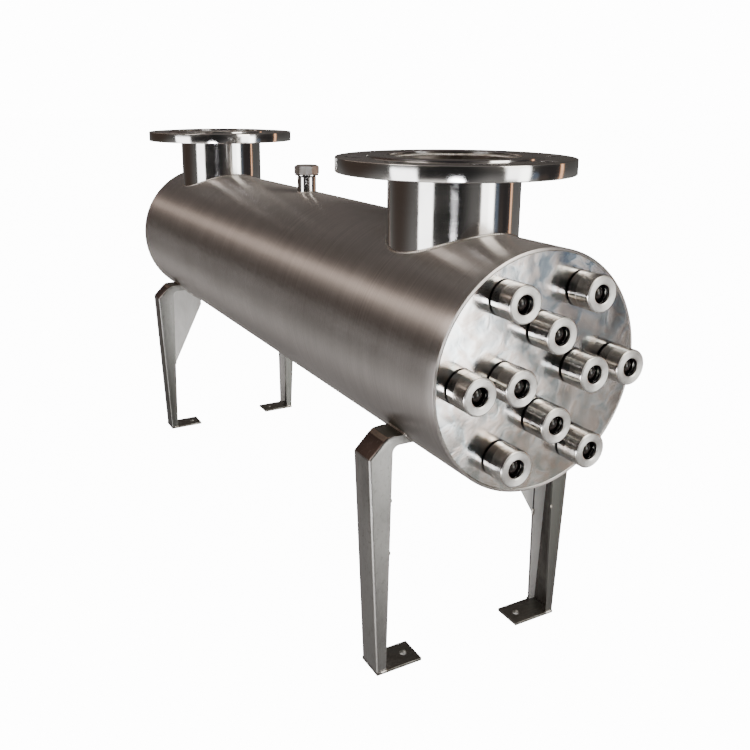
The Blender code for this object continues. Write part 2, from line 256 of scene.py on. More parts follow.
def circle(radius, height, count):
    """Points on a level circle about Z."""
    turns = [2 * math.pi * index / count for index in range(count)]
    return [Vector((radius * math.cos(a), radius * math.sin(a), height)) for a in turns]


def saddle(radius, lift, count):
    """Points round an upright pipe where it meets the shell, lifted off the skin."""
    turns = [2 * math.pi * index / count for index in range(count)]
    spots = [(radius * math.cos(a), radius * math.sin(a)) for a in turns]
    return [Vector((x, y, on_shell(x) + lift)) for x, y in spots]


def saddle_row(radius):
    """One row of an upright pipe's end, cut to sit on the shell."""
    return lambda angle: (radius, on_shell(radius * math.cos(angle), SHELL_RADIUS + GAP))


def spread(start, end, step=0.0009):
    """Points a step apart on the straight line between two points."""
    start, end = Vector(start), Vector(end)
    count = max(4, round((end - start).length / step))
    return [start.lerp(end, index / count) for index in range(count + 1)]


def thread_row(radius, depth, pitch, height):
    """One row of a screw thread's surface."""
    def row(angle):
        turn = 2 * math.pi * height / pitch - angle
        return radius - depth * (0.5 + 0.5 * math.cos(turn)), height
    return row


def thread(radius, depth, pitch, low, high):
    """The rows of a screw thread between two heights, with a plain lead at both ends."""
    rows = [(radius - depth, low), (radius - depth, low + pitch / 3)]
    count = round((high - low - pitch) / pitch * 6)
    for step in range(count + 1):
        height = low + pitch / 2 + (high - low - pitch) * step / count
        rows.append(thread_row(radius, depth, pitch, height))
    return rows + [(radius - depth, high - pitch / 3), (radius - depth, high)]


# Pieces

def show(name, bm, material, place, body="vessel", stands_for=()):
    """Makes a piece from bm that rides on a CAD body."""
    bmesh.ops.recalc_face_normals(bm, faces=bm.faces[:])
    mesh = bpy.data.meshes.new(name)
    bm.to_mesh(mesh)
    bm.free()
    mesh.shade_smooth()
    mesh.set_sharp_from_angle(angle=SHARP)
    mesh.materials.append(material)
    piece = bpy.data.objects.new(name, mesh)
    bpy.context.scene.collection.objects.link(piece)
    piece.matrix_world = place
    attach(piece, body)
    if stands_for:
        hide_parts(*stands_for)
    return piece


def weld_ring(name, path, kind, steel, place):
    show(name, bead(path, BEADS[kind], UP, closed=True), steel, place)


def combine(piece, bm, place, operation="DIFFERENCE"):
    """Applies a Boolean to a piece's mesh, with a tool made from bm and then removed."""
    mesh = bpy.data.meshes.new("tool")
    bmesh.ops.recalc_face_normals(bm, faces=bm.faces[:])
    bm.to_mesh(mesh)
    bm.free()
    tool = bpy.data.objects.new("tool", mesh)
    bpy.context.scene.collection.objects.link(tool)
    tool.matrix_world = place
    modifier = piece.modifiers.new("combine", "BOOLEAN")
    modifier.operation = operation
    modifier.solver = "EXACT"
    modifier.object = tool
    graph = bpy.context.evaluated_depsgraph_get()
    result = bpy.data.meshes.new_from_object(piece.evaluated_get(graph), depsgraph=graph)
    piece.modifiers.clear()
    piece.data = result
    result.shade_smooth()
    result.set_sharp_from_angle(angle=SHARP)
    bpy.data.objects.remove(tool)


# Materials

class Nodes:
    """Short ways to add shader nodes to a tree and join them."""

    def __init__(self, tree, colour=(0, 0, 0)):
        self.tree = tree
        self.colour = Vector(colour)

    def add(self, kind, **settings):
        node = self.tree.nodes.new(kind)
        for key, value in settings.items():
            setattr(node, key, value)
        return node

    def link(self, source, target):
        self.tree.links.new(source, target)

    def math(self, operation, first, second=0.0):
        node = self.add("ShaderNodeMath", operation=operation)
        for value, socket in zip((first, second), node.inputs):
            if isinstance(value, (int, float)):
                socket.default_value = value
            else:
                self.link(value, socket)
        return node.outputs["Value"]

    def vector(self, operation, first, second=(0, 0, 0), result="Value"):
        node = self.add("ShaderNodeVectorMath", operation=operation)
        node.inputs[1].default_value = second
        self.link(first, node.inputs[0])
        return node.outputs[result]

    def split(self, source):
        """The X, Y and Z of a vector, by name."""
        node = self.add("ShaderNodeSeparateXYZ")
        self.link(source, node.inputs["Vector"])
        return node.outputs

    def span(self, source, low, high, start=0.35, end=0.65, **settings):
        """source's values from start to end become low to high."""
        node = self.add("ShaderNodeMapRange", **settings)
        for key, value in (("From Min", start), ("From Max", end), ("To Min", low), ("To Max", high)):
            node.inputs[key].default_value = value
        self.link(source, node.inputs["Value"])
        return node.outputs["Result"]

    def mix(self, fraction, first, second):
        """Mixes two colours. Each is a plain colour, a share of the base colour, or a node's output."""
        node = self.add("ShaderNodeMix", data_type="RGBA")
        self.link(fraction, node.inputs["Factor"])
        for value, socket in ((first, node.inputs[6]), (second, node.inputs[7])):
            if isinstance(value, float):
                socket.default_value = (*(self.colour * value), 1.0)
            elif isinstance(value, tuple):
                socket.default_value = (*value, 1.0)
            else:
                self.link(value, socket)
        return node.outputs[2]

    def blend(self, base, colour, source, share=1.0, start=0.35, end=0.65):
        """Mixes a share of a colour into base where source is high."""
        return self.mix(self.span(source, 0.0, share, start, end), base, colour)


class Finish(Nodes):
    """A Principled material with short ways to drive it from textures in the piece's own space."""

    def __init__(self, name, colour, metallic, roughness, **settings):
        self.material = bpy.data.materials.new(name)
        self.material.use_nodes = True
        super().__init__(self.material.node_tree, colour)
        self.shader = self.tree.nodes["Principled BSDF"]
        self.set(Base_Color=(*colour, 1.0), Metallic=metallic, Roughness=roughness, **settings)
        self.space = self.add("ShaderNodeTexCoord").outputs["Object"]

    def set(self, **settings):
        for key, value in settings.items():
            self.shader.inputs[key.replace("_", " ")].default_value = value

    def drive(self, name, source):
        self.link(source, self.shader.inputs[name])

    def texture(self, spot, detail=2.0, roughness=0.5, distortion=0.0):
        node = self.add("ShaderNodeTexNoise")
        node.inputs["Scale"].default_value = 1.0
        node.inputs["Detail"].default_value = detail
        node.inputs["Roughness"].default_value = roughness
        node.inputs["Distortion"].default_value = distortion
        self.link(spot, node.inputs["Vector"])
        return node.outputs["Fac"]

    def noise(self, stretch, detail=3.0, roughness=0.5, distortion=0.0):
        """Noise of so many cells per metre, one number or one each along the piece's X, Y and Z."""
        mapping = self.add("ShaderNodeMapping")
        mapping.inputs["Scale"].default_value = (stretch,) * 3 if isinstance(stretch, int) else stretch
        self.link(self.space, mapping.inputs["Vector"])
        return self.texture(mapping.outputs["Vector"], detail, roughness, distortion)

    def rings(self, per_metre, wander):
        """Turning marks: noise that changes with the distance from Z and hardly round it."""
        flat = self.vector("MULTIPLY", self.space, (1, 1, 0), "Vector")
        distance = self.vector("LENGTH", flat)
        join = self.add("ShaderNodeCombineXYZ")
        self.link(self.math("MULTIPLY", distance, per_metre), join.inputs["X"])
        self.link(self.noise(wander, detail=1.0), join.inputs["Y"])
        return self.texture(join.outputs["Vector"])

    def axis(self, name):
        return self.split(self.space)[name]

    def facing(self, name):
        """How far the surface faces along one of the piece's axes, from -1 to 1."""
        return self.split(self.add("ShaderNodeTexCoord").outputs["Normal"])[name]

    def tint(self, base, *layer):
        """Colour: another node's output, or base with a layer blended in."""
        self.drive("Base Color", self.blend(base, *layer) if layer else base)

    def rough(self, *parts):
        """Roughness as a sum of parts, each a node's output or (source, low, high)."""
        total = None
        for part in parts:
            level = self.span(*part) if isinstance(part, tuple) else part
            total = level if total is None else self.math("ADD", total, level)
        self.drive("Roughness", total)

    def bump(self, *parts):
        """Relief in layers, each (source, depth in metres)."""
        below = None
        for source, depth in parts:
            node = self.add("ShaderNodeBump")
            node.inputs["Distance"].default_value = depth
            self.link(source, node.inputs["Height"])
            if below is not None:
                self.link(below, node.inputs["Normal"])
            below = node.outputs["Normal"]
        self.drive("Normal", below)

    def stroke(self, amount):
        """Stretches highlights along the piece's Z, across brush marks that run round it."""
        tangent = self.add("ShaderNodeTangent", direction_type="RADIAL", axis="Z")
        self.drive("Tangent", tangent.outputs["Tangent"])
        self.set(Anisotropic=amount, Anisotropic_Rotation=0.25)


def brushed_steel():
    """The shell: fine brushing round the vessel, with smudges and faint scuffs."""
    finish = Finish("brushed_steel", (0.53, 0.495, 0.475), 1.0, 0.35)
    lines = finish.noise((7, 7, 1100), 4.0)
    bands = finish.noise((2, 2, 60))
    smudge = finish.noise((9, 9, 7), 4.0, 0.6, 0.4)
    streaked = finish.blend(0.88, 1.10, lines)
    finish.tint(streaked, 0.84, smudge, 0.6)
    finish.rough((bands, 0.33, 0.35), (lines, -0.02, 0.02), (smudge, 0.0, 0.04))
    finish.bump((lines, 7e-6), (bands, 1.2e-5))
    finish.stroke(0.90)
    return finish.material


def plate_steel():
    """The end plates: buffed flat by hand, so the reflections break into soft patches."""
    finish = Finish("plate_steel", (0.70, 0.69, 0.68), 1.0, 0.20)
    patches = finish.noise(26, 1.5, distortion=0.5)
    blotches = finish.noise(48, 2.0, 0.45, 0.9)
    worn = finish.blend(0.74, 1.14, patches)
    warm = finish.blend(worn, (0.53, 0.45, 0.40), blotches, 0.80, 0.48, 0.66)
    finish.tint(finish.mix(finish.span(blotches, 0.65, 0.0, 0.34, 0.50), warm, (0.50, 0.58, 0.62)))
    finish.rough((patches, 0.12, 0.18), (blotches, -0.02, 0.05))
    finish.bump((patches, 3.8e-4), (blotches, 1.4e-4), (finish.noise(900, 2.0), 4e-6))
    return finish.material


def polished_steel():
    """Nozzles and flanges: mirror polished round the pipe, faint polishing lines and water marks."""
    finish = Finish("polished_steel", (0.63, 0.62, 0.61), 1.0, 0.12)
    lines = finish.noise((6, 6, 700))
    marks = finish.noise(30, 4.0, 0.6, 0.8)
    finish.tint(1.0, 0.86, marks, 0.6)
    finish.rough((lines, 0.10, 0.13), (marks, -0.01, 0.04))
    finish.bump((lines, 1e-6), (marks, 3e-5))
    finish.stroke(0.75)
    return finish.material


def faced_steel():
    """Flat faces turned on a lathe, such as the flanges' sealing faces."""
    finish = Finish("faced_steel", (0.40, 0.375, 0.36), 1.0, 0.30)
    rings = finish.rings(2600, 6)
    marks = finish.noise(26, 4.0, 0.6)
    finish.tint(1.0, 0.82, marks, 0.7)
    finish.rough((rings, 0.24, 0.36), (marks, -0.02, 0.06))
    finish.bump((rings, 1e-5), (marks, 3e-5))
    finish.stroke(0.6)
    return finish.material


def nut_steel():
    """A gland nut: polished collar at the back, satin side, and a bright turned face."""
    finish = Finish("nut_steel", (0.56, 0.545, 0.52), 1.0, 0.30)
    rings = finish.rings(3200, 9)
    lines = finish.noise((20, 20, 1500))
    marks = finish.noise(90, 4.0, 0.6)
    height = finish.axis("Z")
    front = finish.span(height, 0.0, 1.0, NUT_FACE - 0.0010, NUT_FACE - 0.0006)
    satin = finish.span(height, 0.0, 1.0, NUT_GROOVE - 0.0002, NUT_GROOVE + 0.0002)
    side = finish.blend(0.90, 1.16, lines)
    face = finish.blend((0.74, 0.73, 0.70), (0.99, 0.98, 0.96), rings)
    finish.tint(finish.mix(front, side, face), (0.50, 0.47, 0.43), marks, 0.35)
    finish.rough(finish.math("MULTIPLY", satin, 0.10), finish.math("MULTIPLY", front, 0.22),
                 (lines, 0.11, 0.15))
    finish.bump((finish.math("MULTIPLY", rings, front), 2e-5),
                (finish.math("MULTIPLY", lines, satin), 6e-6))
    finish.stroke(0.6)
    return finish.material


def socket_steel():
    """A gland socket: turned pipe with a worn thread, painted near black by the plate as shade in the gap
    under the nut.
    """
    finish = Finish("socket_steel", (0.42, 0.40, 0.38), 1.0, 0.30)
    lines = finish.noise((20, 20, 1500))
    marks = finish.noise(80, 4.0, 0.6)
    # Painted shade: near black from the plate up to 3.5 mm, fading out by 6.5 mm, for the shaded gap between
    # plate and nut.
    gap_shade = finish.span(finish.axis("Z"), 1.0, 0.0, 0.0035, 0.0065)
    worn = finish.blend(1.0, (0.16, 0.14, 0.12), marks, 0.7)
    finish.tint(finish.mix(gap_shade, worn, (0.006, 0.005, 0.005)))
    finish.rough(finish.math("MULTIPLY", gap_shade, 0.30), (lines, 0.26, 0.36))
    finish.bump((lines, 6e-6))
    return finish.material


def plug_steel():
    """The port's hexagon plug: bright bar stock with spanner rub and a little tarnish."""
    finish = Finish("plug_steel", (0.66, 0.65, 0.63), 1.0, 0.40)
    lines = finish.noise((40, 40, 1300))
    rub = finish.noise((180, 180, 60), 4.0, 0.65)
    finish.tint(1.0, (0.46, 0.42, 0.38), rub, 0.6)
    finish.rough((lines, 0.36, 0.44), (rub, -0.02, 0.10))
    finish.bump((lines, 6e-6), (rub, 3e-5))
    return finish.material


def leg_steel(name, dark_end):
    """Bent sheet: brushed down its length, with handling marks; the right legs are painted darker, and the
    folded top's facets painted dark brown, tan and olive by how far they face up: both are painted shade.

    dark_end is how far the sheet darkens towards the foot, from 0 to 1."""
    finish = Finish(name, (0.48, 0.475, 0.46), 1.0, 0.40)
    lines = finish.noise((900, 900, 9))
    marks = finish.noise((22, 22, 12), 5.0, 0.6, 0.5)
    spots = finish.noise((210, 210, 150), roughness=0.7)
    upward = finish.facing("Z")
    height = finish.axis("Z")
    fresh = finish.blend(0.82, 1.08, marks)
    # Painted shade: the right legs, where X passes 0 to 0.05 m, darken to (0.20, 0.20, 0.185).
    dull = finish.blend(fresh, (0.20, 0.20, 0.185), finish.axis("X"), 1.0, 0.0, 0.05)
    # Darker towards the bottom, in patches, below z -0.22.
    near_floor = finish.span(height, 0.55, 0.0, -0.38, -0.22)
    patchy_low_darkening = finish.math("MULTIPLY", near_floor, finish.span(marks, 0.6, 1.0))
    darkened_low = finish.mix(patchy_low_darkening, dull, (0.19, 0.185, 0.175))
    # Darker still towards the foot by the share dark_end, below z -0.08.
    worn = finish.mix(finish.span(height, dark_end, 0.0, -0.34, -0.08), darkened_low, (0.13, 0.13, 0.12))
    # Painted shade by facet: faces tilted up (normal Z 0.45 to 0.62) dark brown, the narrow facet (0.74 to
    # 0.79) tan, the top (0.88 to 0.96) olive.
    chamfer_shade = finish.blend(worn, (0.105, 0.078, 0.070), upward, 1.0, 0.45, 0.62)
    narrow_facet_shade = finish.blend(chamfer_shade, (0.42, 0.34, 0.28), upward, 1.0, 0.74, 0.79)
    top_facet_shade = finish.blend(narrow_facet_shade, (0.17, 0.165, 0.14), upward, 1.0, 0.88, 0.96)
    finish.tint(top_facet_shade, (0.20, 0.18, 0.16), spots, 0.5, 0.55, 0.75)
    finish.rough((lines, 0.33, 0.42), (marks, -0.03, 0.07))
    finish.bump((lines, 8e-6), (marks, 1.2e-4))
    return finish.material


def leg_inside():
    """The sheet's other side, left as rolled: dull, and dark on the web where the bends shade it."""
    finish = Finish("leg_inside", (0.90, 0.885, 0.86), 1.0, 0.60)
    marks = finish.noise((40, 40, 14), 5.0, 0.65, 0.5)
    grain = finish.noise((700, 700, 40))
    dull = finish.blend(1.0, 0.78, marks, 0.7)
    web = finish.blend((0.20, 0.19, 0.18), (0.10, 0.095, 0.09), marks)
    flange = finish.span(finish.math("ABSOLUTE", finish.facing("Y")), 0.0, 1.0, 0.4, 0.6)
    finish.tint(finish.mix(flange, web, dull))
    finish.drive("Metallic", finish.span(flange, 1.0, 0.10, 0.0, 1.0))
    finish.rough((grain, 0.50, 0.60), (marks, 0.0, 0.08))
    finish.bump((grain, 1e-5), (marks, 8e-5))
    return finish.material


def foot_steel():
    """Foot plates: dull sheet as it came from the mill, scuffed by the floor."""
    finish = Finish("foot_steel", (0.25, 0.25, 0.23), 1.0, 0.48)
    scuffs = finish.noise((60, 240, 60), 5.0, 0.7)
    scale = finish.noise(35, 4.0, distortion=0.7)
    worn = finish.blend(1.0, (0.50, 0.47, 0.44), scuffs, 0.8, 0.5, 0.75)
    finish.tint(worn, (0.16, 0.14, 0.12), scale, 0.6)
    finish.rough((scuffs, 0.52, 0.40), (scale, -0.04, 0.06))
    finish.bump((scuffs, 5e-5))
    return finish.material


def weld_steel():
    """Weld beads: bright metal with faint straw and blue heat colours."""
    finish = Finish("weld_steel", (0.58, 0.565, 0.54), 1.0, 0.30)
    heat = finish.noise(60, distortion=0.6)
    grain = finish.noise(700)
    straw = finish.blend(1.0, (0.46, 0.40, 0.32), heat, 0.6, 0.45, 0.65)
    finish.tint(straw, (0.26, 0.26, 0.29), heat, 0.6, 0.58, 0.70)
    finish.rough((grain, 0.24, 0.40))
    finish.bump((grain, 3e-5))
    return finish.material


def inner_steel():
    """Plates inside the vessel: plain mill finish, slightly stained by water."""
    finish = Finish("inner_steel", (0.30, 0.28, 0.26), 1.0, 0.38)
    stain = finish.noise(30, 5.0, 0.65, 0.8)
    grain = finish.noise(800, 2.0)
    finish.tint(1.0, (0.13, 0.105, 0.085), stain, 0.8)
    finish.rough((grain, 0.26, 0.36), (stain, 0.0, 0.10))
    finish.bump((grain, 1e-5))
    return finish.material


def seal_rubber():
    """Black rubber with a faint bloom and moulding grain."""
    finish = Finish("seal_rubber", (0.018, 0.018, 0.019), 0.0, 0.55)
    bloom = finish.noise(160, 4.0)
    finish.tint(1.0, (0.045, 0.044, 0.042), bloom, 0.7)
    finish.rough((bloom, 0.48, 0.66))
    finish.bump((finish.noise(1500, 2.0), 2e-5))
    return finish.material


def quartz_glass():
    """Clear fused quartz with drawing lines and the odd fingerprint, painted near black at its front rim as
    shade inside the nut.
    """
    finish = Finish("quartz_glass", (0.97, 0.99, 0.98), 0.0, 0.02, Transmission_Weight=1.0, IOR=1.458)
    draw = finish.noise((500, 500, 6), 2.0)
    prints = finish.noise((60, 60, 40), 4.0, distortion=0.6)
    clear = finish.blend(1.0, (0.90, 0.95, 0.93), prints, 0.4)
    # Painted shade: within 1.5 mm of the sleeve's front end near black, fading out by 4 mm, behind the nut's
    # lip.
    rim = (SLEEVE_FRONT - 0.0040, SLEEVE_FRONT - 0.0015)
    finish.tint(clear, (0.010, 0.010, 0.010), finish.axis("Z"), 1.0, *rim)
    finish.rough((prints, 0.0, 0.07, 0.5, 0.75))
    finish.bump((draw, 1.2e-5))
    return finish.material


def lamp_glass():
    """A lamp's quartz tube, hazed by use towards its ends."""
    finish = Finish("lamp_glass", (0.93, 0.95, 0.93), 0.0, 0.08, Transmission_Weight=0.72, IOR=1.458)
    haze = finish.noise((70, 70, 12), 4.0, distortion=0.5)
    finish.tint(1.0, (0.62, 0.60, 0.54), haze, 0.9)
    finish.rough((haze, 0.05, 0.22))
    finish.bump((haze, 2e-5))
    return finish.material


def lamp_nose():
    """The lamp's round nose: dark glazed ceramic with olive and brown clouds."""
    finish = Finish("lamp_nose", (0.008, 0.010, 0.009), 0.0, 0.10, IOR=1.38)
    clouds = finish.noise(170, 4.0, distortion=1.2)
    finish.tint(1.0, (0.040, 0.031, 0.027), clouds)
    finish.rough((clouds, 0.03, 0.09))
    finish.bump((clouds, 3e-5))
    return finish.material


def lamp_ceramic():
    """White ceramic lamp ends, slightly yellowed."""
    finish = Finish("lamp_ceramic", (0.80, 0.78, 0.72), 0.0, 0.32)
    aged = finish.noise((90, 90, 60), 4.0)
    finish.tint(1.0, (0.66, 0.58, 0.44), aged, 0.8)
    finish.rough((aged, 0.28, 0.42))
    finish.bump((aged, 2e-5))
    return finish.material


# Vessel

def build_shell(steel):
    """The rolled tube with softened rims and true openings for the nozzles and the port."""
    inside = SHELL_RADIUS - SHELL_WALL
    edge = 0.0007
    rings = 56
    rows = [(inside, 0), (SHELL_RADIUS - edge, 0), (SHELL_RADIUS - edge * 0.3, -edge * 0.3)]
    rows += [(SHELL_RADIUS, -edge - (LENGTH - 2 * edge) * step / rings) for step in range(rings + 1)]
    rows += [(SHELL_RADIUS - edge * 0.3, edge * 0.3 - LENGTH), (SHELL_RADIUS - edge, -LENGTH)]
    rows += [(inside, -LENGTH * (1 - step / rings)) for step in range(rings)]
    shell = show("shell_skin", turned(rows, ROUND), steel, along_vessel(),
                 stands_for=["shell"])
    low, high = 0.100, SHELL_RADIUS + SHELL_WALL
    for nozzle in ("inlet", "outlet"):
        combine(shell, rod(PIPE_RADIUS - PIPE_WALL, low, high, ROUND), upright(f"{nozzle}_flange"))
    combine(shell, rod(PORT_BORE_RADIUS, low, high, FINE), upright("port_socket"))


def build_end_plates(steel, weld):
    radius = SHELL_RADIUS - SHELL_WALL - GAP
    edge = 0.0008
    outline = [(0, -PLATE_THICKNESS), (radius, -PLATE_THICKNESS), (radius, -edge), (radius - edge, 0), (0, 0)]
    front = show("front_plate", turned(outline, ROUND), steel, along_vessel(),
                 stands_for=["front_end_plate"])
    for number in GLANDS:
        drill = rod(SOCKET_BORE_RADIUS, -2 * PLATE_THICKNESS, PLATE_THICKNESS, FINE)
        combine(front, drill, gland_place(number))
    turned_round = along_vessel(depth=LENGTH) @ Matrix.Rotation(math.pi, 4, "X")
    show("rear_plate", turned(outline, ROUND), steel, turned_round,
         stands_for=["rear_end_plate"])
    seam = circle(radius + GAP / 2, -0.0006, 900)
    for name, place in (("front_seam", along_vessel()), ("rear_seam", turned_round)):
        weld_ring(name, seam, "plate", weld, place)


def build_nozzle(nozzle, polished, faced, stained, weld):
    """A pipe stub cut to the shell, its slip-on flange, and the welds that hold them."""
    place = upright(f"{nozzle}_flange")
    inside = PIPE_RADIUS - PIPE_WALL
    top = FLANGE_FACE - PIPE_SETBACK
    edge = 0.0006
    rows = [saddle_row(inside), saddle_row(PIPE_RADIUS)]
    rows += [(PIPE_RADIUS, STUB_STRAIGHT + (top - edge - STUB_STRAIGHT) * step / 6) for step in range(7)]
    rows += [(PIPE_RADIUS - edge, top), (inside + edge, top), (inside, top - edge)]
    rows += [(inside, STUB_STRAIGHT)]
    stub = show(f"{nozzle}_stub", turned(rows, ROUND), polished, place, stands_for=[f"{nozzle}_pipe"])
    stub.data.materials.append(stained)
    for face in stub.data.polygons:
        if math.hypot(face.center.x, face.center.y) < inside + edge:
            face.material_index = 1

    seat = saddle(PIPE_RADIUS + 0.0006, 0.0004, 1000)
    weld_ring(f"{nozzle}_saddle_weld", seat, "saddle", weld, place)
    bore = PIPE_RADIUS + 2 * GAP
    rim_top = FLANGE_FACE - RAISED_FACE_STEP
    rim_low = rim_top - FLANGE_THICKNESS
    corner = 0.0012
    outline = [(bore, rim_low), (FLANGE_RADIUS - corner, rim_low)]
    outline += arc((FLANGE_RADIUS - corner, rim_low + corner), corner, -90, 0, 3)
    outline += arc((FLANGE_RADIUS - corner, rim_top - corner), corner, 0, 90, 3)
    outline += [(RAISED_FACE_RADIUS, rim_top), (RAISED_FACE_RADIUS - 0.0003, FLANGE_FACE)]
    groove = 0.0010
    grooves = round((RAISED_FACE_RADIUS - (bore + 0.004) - 0.002) / groove)
    for index in range(grooves):
        radius = RAISED_FACE_RADIUS - 0.001 - groove * index
        outline += [(radius, FLANGE_FACE), (radius - groove * 0.4, FLANGE_FACE - 0.00012)]
    outline += [(bore + 0.0008, FLANGE_FACE), (bore, FLANGE_FACE - 0.0008)]
    flange = show(f"{nozzle}_ring", turned(outline, ROUND), polished, place,
                  stands_for=[f"{nozzle}_flange"])
    chamfer = 0.0008
    clear = 0.01
    drill = [(0, rim_low - clear), (BOLT_HOLE_RADIUS + clear, rim_low - clear),
             (BOLT_HOLE_RADIUS + chamfer, rim_low), (BOLT_HOLE_RADIUS, rim_low + chamfer),
             (BOLT_HOLE_RADIUS, rim_top - chamfer), (BOLT_HOLE_RADIUS + chamfer, rim_top),
             (BOLT_HOLE_RADIUS + clear, rim_top + clear), (0, rim_top + clear)]
    for hole in range(BOLT_HOLES):
        angle = 2 * math.pi * (hole + 0.5) / BOLT_HOLES
        x, y = BOLT_CIRCLE_RADIUS * math.cos(angle), BOLT_CIRCLE_RADIUS * math.sin(angle)
        combine(flange, turned(drill, 48), place @ Matrix.Translation((x, y, 0)))
    flange.data.materials.append(faced)
    for face in flange.data.polygons:
        if face.center.z > rim_top - 0.0001 and abs(face.normal.z) > 0.5:
            face.material_index = 1

    for name, radius, height in (("bore", bore - 0.0006, top + 0.0006),
                                 ("back", PIPE_RADIUS + 0.0004, rim_low)):
        ring = circle(radius, height, 1000)
        weld_ring(f"{nozzle}_{name}_weld", ring, f"flange_{name}", weld, place)


def build_port(polished, plug_metal, rubber, weld):
    """The small socket on top, its washer, and its hexagon plug with a collar and a thread."""
    place = upright("port_socket")
    edge = 0.0007
    rows = [saddle_row(PORT_BORE_RADIUS), saddle_row(PORT_RADIUS), (PORT_RADIUS, PORT_TOP - edge),
            (PORT_RADIUS - edge, PORT_TOP), (PORT_BORE_RADIUS + edge, PORT_TOP),
            (PORT_BORE_RADIUS, PORT_TOP - edge)]
    show("port_stub", turned(rows, FINE), polished, place, stands_for=["port_socket"])
    seat = saddle(PORT_RADIUS + 0.0004, 0.0003, 200)
    weld_ring("port_weld", seat, "saddle", weld, place)

    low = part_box("port_washer")[0].z - AXIS_Z
    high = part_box("port_washer")[1].z - AXIS_Z
    inside = PLUG_SPIGOT_RADIUS + 2 * GAP
    bulge = (high - low) / 2
    outline = [(inside, low), (PORT_RADIUS - bulge, low)]
    outline += arc((PORT_RADIUS - bulge, low + bulge), bulge, -90, 90, 6) + [(inside, high)]
    show("port_gasket", turned(outline, FINE), rubber, place, "port_washer",
         ["port_washer"])

    collar = 0.0016
    flats = PLUG_HEX_RADIUS * math.cos(math.radians(30))
    points = PLUG_HEX_RADIUS + 0.0005
    outline = [(0, PLUG_LOW + 0.0004), (flats - 0.0004, PLUG_LOW + 0.0004),
               (flats - 0.0002, PLUG_LOW + collar), (flats + 0.0008, PLUG_LOW + collar + 0.0002),
               (points, PLUG_LOW + collar + 0.0014), (points, PLUG_TOP - 0.0026),
               (flats - 0.0012, PLUG_TOP), (0, PLUG_TOP)]
    plug = show("hex_plug", turned(outline, FINE), plug_metal, place, "port_plug",
                ["port_plug"])
    hexagon = rod(PLUG_HEX_RADIUS, PLUG_LOW, PLUG_TOP + 0.001, 6)
    combine(plug, hexagon, place @ Matrix.Rotation(PLUG_HEX_TURN, 4, "Z"), "INTERSECT")
    face = turned([(0, PLUG_LOW), (flats + 0.0016, PLUG_LOW), (flats + 0.0016, PLUG_LOW + collar * 0.7),
                   (flats + 0.0012, PLUG_LOW + collar), (0, PLUG_LOW + collar)], FINE)
    show("plug_collar", face, polished, place, "port_plug")
    spigot_low = PLUG_LOW - PLUG_SPIGOT_LENGTH
    rows = [(0, spigot_low)] + thread(PLUG_SPIGOT_RADIUS, 0.0008, PORT_THREAD_PITCH, spigot_low, PLUG_LOW)
    show("plug_thread", turned(rows + [(0, PLUG_LOW)], FINE), plug_metal, place,
         "port_plug")


# Glands, sleeves and lamps

def socket_rows():
    """A pipe stub: plain by the plate, then a relief groove, and a thread up to its chamfered end."""
    relief = THREAD_RADIUS - 0.0012
    rows = [(SOCKET_BORE_RADIUS, GAP / 3), (THREAD_RADIUS, GAP / 3), (THREAD_RADIUS, THREAD_START - 0.0018),
            (relief, THREAD_START - 0.0012)]
    rows += thread(THREAD_RADIUS, 0.0010, THREAD_PITCH, THREAD_START, SOCKET_LENGTH - 0.0006)
    return rows + [(THREAD_RADIUS - 0.0014, SOCKET_LENGTH), (SOCKET_BORE_RADIUS + 0.0010, SOCKET_LENGTH),
                   (SOCKET_BORE_RADIUS, SOCKET_LENGTH - 0.0010)]


def nut_rows():
    """A nut's outline: fine groove between collar and side, chamfers, and a rounded hole."""
    lip = NUT_FACE - NUT_LIP
    groove = NUT_GROOVE
    edge = 0.0008
    rows = [(NUT_BORE_RADIUS, NUT_BACK + 0.0004), (NUT_BORE_RADIUS + 0.0004, NUT_BACK),
            (NUT_RADIUS - 0.0006, NUT_BACK), (NUT_RADIUS - 0.0001, NUT_BACK + 0.0005),
            (NUT_RADIUS - 0.0001, groove - 0.0003), (NUT_RADIUS - 0.0004, groove),
            (NUT_RADIUS, groove + 0.0003)]
    rows += [(NUT_RADIUS, NUT_FACE - 0.0013), (NUT_RADIUS - 0.0003, NUT_FACE - 0.0010)]
    rows += [(NUT_RADIUS - 0.0018, NUT_FACE - 0.0002), (NUT_RADIUS - 0.0021, NUT_FACE - 0.00025),
             (NUT_RADIUS - 0.0023, NUT_FACE)]
    hole = NUT_HOLE_RADIUS + edge
    rows += [(hole + 0.0006, NUT_FACE), (hole + 0.0003, NUT_FACE - 0.0002)]
    rows += arc((hole, NUT_FACE - edge - 0.0003), edge, 90, 180, 4)
    return rows + [(NUT_HOLE_RADIUS, lip + 0.0002), (NUT_HOLE_RADIUS + 0.0002, lip), (NUT_BORE_RADIUS, lip)]


def seal_rows():
    ring = SLEEVE_RADIUS + GAP + SEAL_SECTION_RADIUS
    return arc((ring, SOCKET_LENGTH + GAP + SEAL_SECTION_RADIUS), SEAL_SECTION_RADIUS, 0, 345, 23)


def sleeve_rows():
    """An open tube with a fire-polished rim in the nut and a round closed end in the vessel."""
    inside = SLEEVE_RADIUS - SLEEVE_WALL
    rim = SLEEVE_WALL / 2
    dome = SLEEVE_END + SLEEVE_RADIUS
    rows = arc((inside + rim, SLEEVE_FRONT - rim), rim, 0, 180, 8)
    rows += arc((0, dome), inside, 0, -90, 10)
    return rows + arc((0, dome), SLEEVE_RADIUS, -90, 0, 10)


